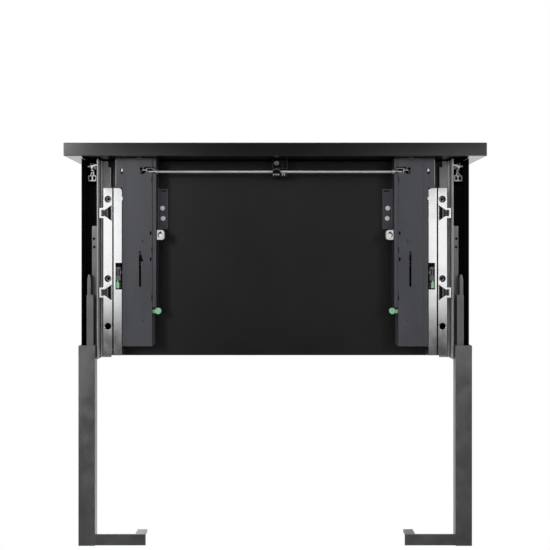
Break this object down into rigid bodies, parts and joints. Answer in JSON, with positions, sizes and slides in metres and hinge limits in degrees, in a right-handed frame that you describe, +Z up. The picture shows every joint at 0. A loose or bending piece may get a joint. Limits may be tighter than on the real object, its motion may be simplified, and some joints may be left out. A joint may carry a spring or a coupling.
{
  "type": "push-to-open drawer mechanism",
  "caption": "Drawer on full-extension runners with a push-to-open ejector unit under each side, joined by a synchronising shaft.",
  "frame": {"origin": "middle of the cabinet opening's front edge plane, at the height of the front panel's lower edge", "axes": "+Y into the cabinet, +Z up, +X to the right of someone who looks up at the drawer with its front at the top; the drawer's front faces -Y"},
  "size_m": [0.598, 0.574, 0.195],
  "materials": {
    "black_panel": "black melamine board",
    "side_steel": "dark grey powder-coated steel",
    "zinc_steel": "zinc-plated steel",
    "bright_steel": "bright zinc-plated steel",
    "grey_plastic": "anthracite plastic",
    "black_plastic": "black plastic",
    "white_plastic": "white plastic",
    "green_plastic": "pale green plastic",
    "black_screw": "black oxide steel",
    "spring_steel": "spring steel wire",
    "light_metal": "die-cast zinc"
  },
  "bodies": {
    "cabinet": {"cabinet_rail_left": "zinc_steel", "cabinet_rail_right": "zinc_steel", "strikers": "zinc_steel"},
    "drawer": {"front_panel": "black_panel", "base_panel": "black_panel", "back_panel": "black_panel", "side_profile_left": "side_steel", "side_profile_right": "side_steel", "drawer_rail_left": "zinc_steel", "drawer_rail_right": "zinc_steel", "carrier_rail_left": "bright_steel", "carrier_rail_right": "bright_steel", "carrier_screws": "black_screw", "lock_bodies": "black_plastic", "unit_housing_left": "grey_plastic", "unit_housing_right": "grey_plastic", "guide_rods": "bright_steel", "damper_cylinders": "black_plastic", "ejector_spring_left": "spring_steel", "ejector_spring_right": "spring_steel", "shaft_bracket": "black_plastic", "bracket_screw": "light_metal", "shaft_bushes": "black_plastic", "adjuster_block_left": "white_plastic", "adjuster_block_right": "white_plastic", "mounting_tab_left": "side_steel", "mounting_tab_right": "side_steel", "rivets_and_pins": "light_metal", "front_fixing_left": "light_metal", "front_fixing_right": "light_metal", "back_brackets": "zinc_steel"},
    "shaft": {"sync_shaft": "light_metal", "shaft_couplings": "light_metal", "shaft_pinions": "white_plastic"},
    "middle_left": {"middle_rail_left": "zinc_steel"},
    "lower_run_left": {"lower_cage_left": "black_plastic", "lower_rollers_left": "bright_steel"},
    "upper_run_left": {"upper_cage_left": "black_plastic", "upper_rollers_left": "bright_steel"},
    "middle_right": {"middle_rail_right": "zinc_steel"},
    "lower_run_right": {"lower_cage_right": "black_plastic", "lower_rollers_right": "bright_steel"},
    "upper_run_right": {"upper_cage_right": "black_plastic", "upper_rollers_right": "bright_steel"},
    "trigger_left": {"trigger_bar_left": "black_plastic"},
    "catch_left": {"latch_left": "zinc_steel"},
    "ejector_left": {"ejector_carriage_left": "black_plastic", "damper_rod_left": "bright_steel"},
    "lock_release_left": {"release_lever_left": "green_plastic"},
    "force_setting_left": {"force_lever_left": "green_plastic"},
    "side_adjuster_left": {"adjuster_cam_left": "white_plastic"},
    "front_adjuster_left": {"front_screw_left": "light_metal"},
    "trigger_right": {"trigger_bar_right": "black_plastic"},
    "catch_right": {"latch_right": "zinc_steel"},
    "ejector_right": {"ejector_carriage_right": "black_plastic", "damper_rod_right": "bright_steel"},
    "lock_release_right": {"release_lever_right": "green_plastic"},
    "force_setting_right": {"force_lever_right": "green_plastic"},
    "side_adjuster_right": {"adjuster_cam_right": "white_plastic"},
    "front_adjuster_right": {"front_screw_right": "light_metal"}
  },
  "joints": [
    {"name": "drawer_slide", "type": "slide", "parent": "cabinet", "child": "drawer", "axis": [0, -1, 0], "range_m": [-0.266, 0.0365]},
    {"name": "middle_left_slide", "type": "slide", "parent": "cabinet", "child": "middle_left", "axis": [0, -1, 0], "range_m": [-0.133, 0.01825]},
    {"name": "lower_run_left_slide", "type": "slide", "parent": "cabinet", "child": "lower_run_left", "axis": [0, -1, 0], "range_m": [-0.0665, 0.00912]},
    {"name": "upper_run_left_slide", "type": "slide", "parent": "cabinet", "child": "upper_run_left", "axis": [0, -1, 0], "range_m": [-0.1995, 0.02738]},
    {"name": "middle_right_slide", "type": "slide", "parent": "cabinet", "child": "middle_right", "axis": [0, -1, 0], "range_m": [-0.133, 0.01825]},
    {"name": "lower_run_right_slide", "type": "slide", "parent": "cabinet", "child": "lower_run_right", "axis": [0, -1, 0], "range_m": [-0.0665, 0.00912]},
    {"name": "upper_run_right_slide", "type": "slide", "parent": "cabinet", "child": "upper_run_right", "axis": [0, -1, 0], "range_m": [-0.1995, 0.02738]},
    {"name": "trigger_left_slide", "type": "slide", "parent": "drawer", "child": "trigger_left", "axis": [0, 1, 0], "range_m": [-0.00503, 0], "stiffness_N_per_m": 60},
    {"name": "sync_shaft_turn", "type": "hinge", "parent": "drawer", "child": "shaft", "pos_m": [0, -0.2479, 0.0205], "axis": [-1, 0, 0], "range_deg": [-60, 0]},
    {"name": "catch_left_turn", "type": "hinge", "parent": "drawer", "child": "catch_left", "pos_m": [-0.192, -0.112, 0.0275], "axis": [-1, 0, 0], "range_deg": [-12.01, 0]},
    {"name": "ejector_left_slide", "type": "slide", "parent": "drawer", "child": "ejector_left", "axis": [0, 1, 0], "range_m": [0, 0.045], "deforming": ["ejector_spring_left"]},
    {"name": "lock_release_left_turn", "type": "hinge", "parent": "drawer", "child": "lock_release_left", "pos_m": [-0.2244, -0.0845, 0.017], "axis": [0, 0, 1], "range_deg": [-8, 8]},
    {"name": "force_setting_left_turn", "type": "hinge", "parent": "drawer", "child": "force_setting_left", "pos_m": [-0.182, -0.0468, 0.0168], "axis": [0, 0, 1], "range_deg": [-10, 10]},
    {"name": "side_adjuster_left_turn", "type": "hinge", "parent": "drawer", "child": "side_adjuster_left", "pos_m": [-0.1652, -0.156, 0.0165], "axis": [0, 0, 1], "range_deg": [-90, 90]},
    {"name": "front_adjuster_left_turn", "type": "hinge", "parent": "drawer", "child": "front_adjuster_left", "pos_m": [-0.269, -0.25, 0.072], "axis": [1, 0, 0], "range_deg": [-180, 180]},
    {"name": "trigger_right_slide", "type": "slide", "parent": "drawer", "child": "trigger_right", "axis": [0, 1, 0], "range_m": [-0.00503, 0]},
    {"name": "catch_right_turn", "type": "hinge", "parent": "drawer", "child": "catch_right", "pos_m": [0.192, -0.112, 0.0275], "axis": [-1, 0, 0], "range_deg": [-12.01, 0]},
    {"name": "ejector_right_slide", "type": "slide", "parent": "drawer", "child": "ejector_right", "axis": [0, 1, 0], "range_m": [0, 0.045], "deforming": ["ejector_spring_right"]},
    {"name": "lock_release_right_turn", "type": "hinge", "parent": "drawer", "child": "lock_release_right", "pos_m": [0.2244, -0.0845, 0.017], "axis": [0, 0, 1], "range_deg": [-8, 8]},
    {"name": "force_setting_right_turn", "type": "hinge", "parent": "drawer", "child": "force_setting_right", "pos_m": [0.182, -0.0468, 0.0168], "axis": [0, 0, 1], "range_deg": [-10, 10]},
    {"name": "side_adjuster_right_turn", "type": "hinge", "parent": "drawer", "child": "side_adjuster_right", "pos_m": [0.1652, -0.156, 0.0165], "axis": [0, 0, 1], "range_deg": [-90, 90]},
    {"name": "front_adjuster_right_turn", "type": "hinge", "parent": "drawer", "child": "front_adjuster_right", "pos_m": [0.269, -0.25, 0.072], "axis": [1, 0, 0], "range_deg": [-180, 180]}
  ],
  "couplings": [
    {"joint": "middle_left_slide", "follows": "drawer_slide", "ratio": 0.5},
    {"joint": "lower_run_left_slide", "follows": "drawer_slide", "ratio": 0.25},
    {"joint": "upper_run_left_slide", "follows": "drawer_slide", "ratio": 0.75},
    {"joint": "middle_right_slide", "follows": "drawer_slide", "ratio": 0.5},
    {"joint": "lower_run_right_slide", "follows": "drawer_slide", "ratio": 0.25},
    {"joint": "upper_run_right_slide", "follows": "drawer_slide", "ratio": 0.75},
    {"joint": "sync_shaft_turn", "follows": "trigger_left_slide", "rad_per_m": 208.33},
    {"joint": "catch_left_turn", "follows": "trigger_left_slide", "rad_per_m": 41.667},
    {"joint": "trigger_right_slide", "follows": "trigger_left_slide", "ratio": 1},
    {"joint": "catch_right_turn", "follows": "trigger_left_slide", "rad_per_m": 41.667},
    {"joint": "ejector_right_slide", "follows": "ejector_left_slide", "ratio": 1}
  ]
}
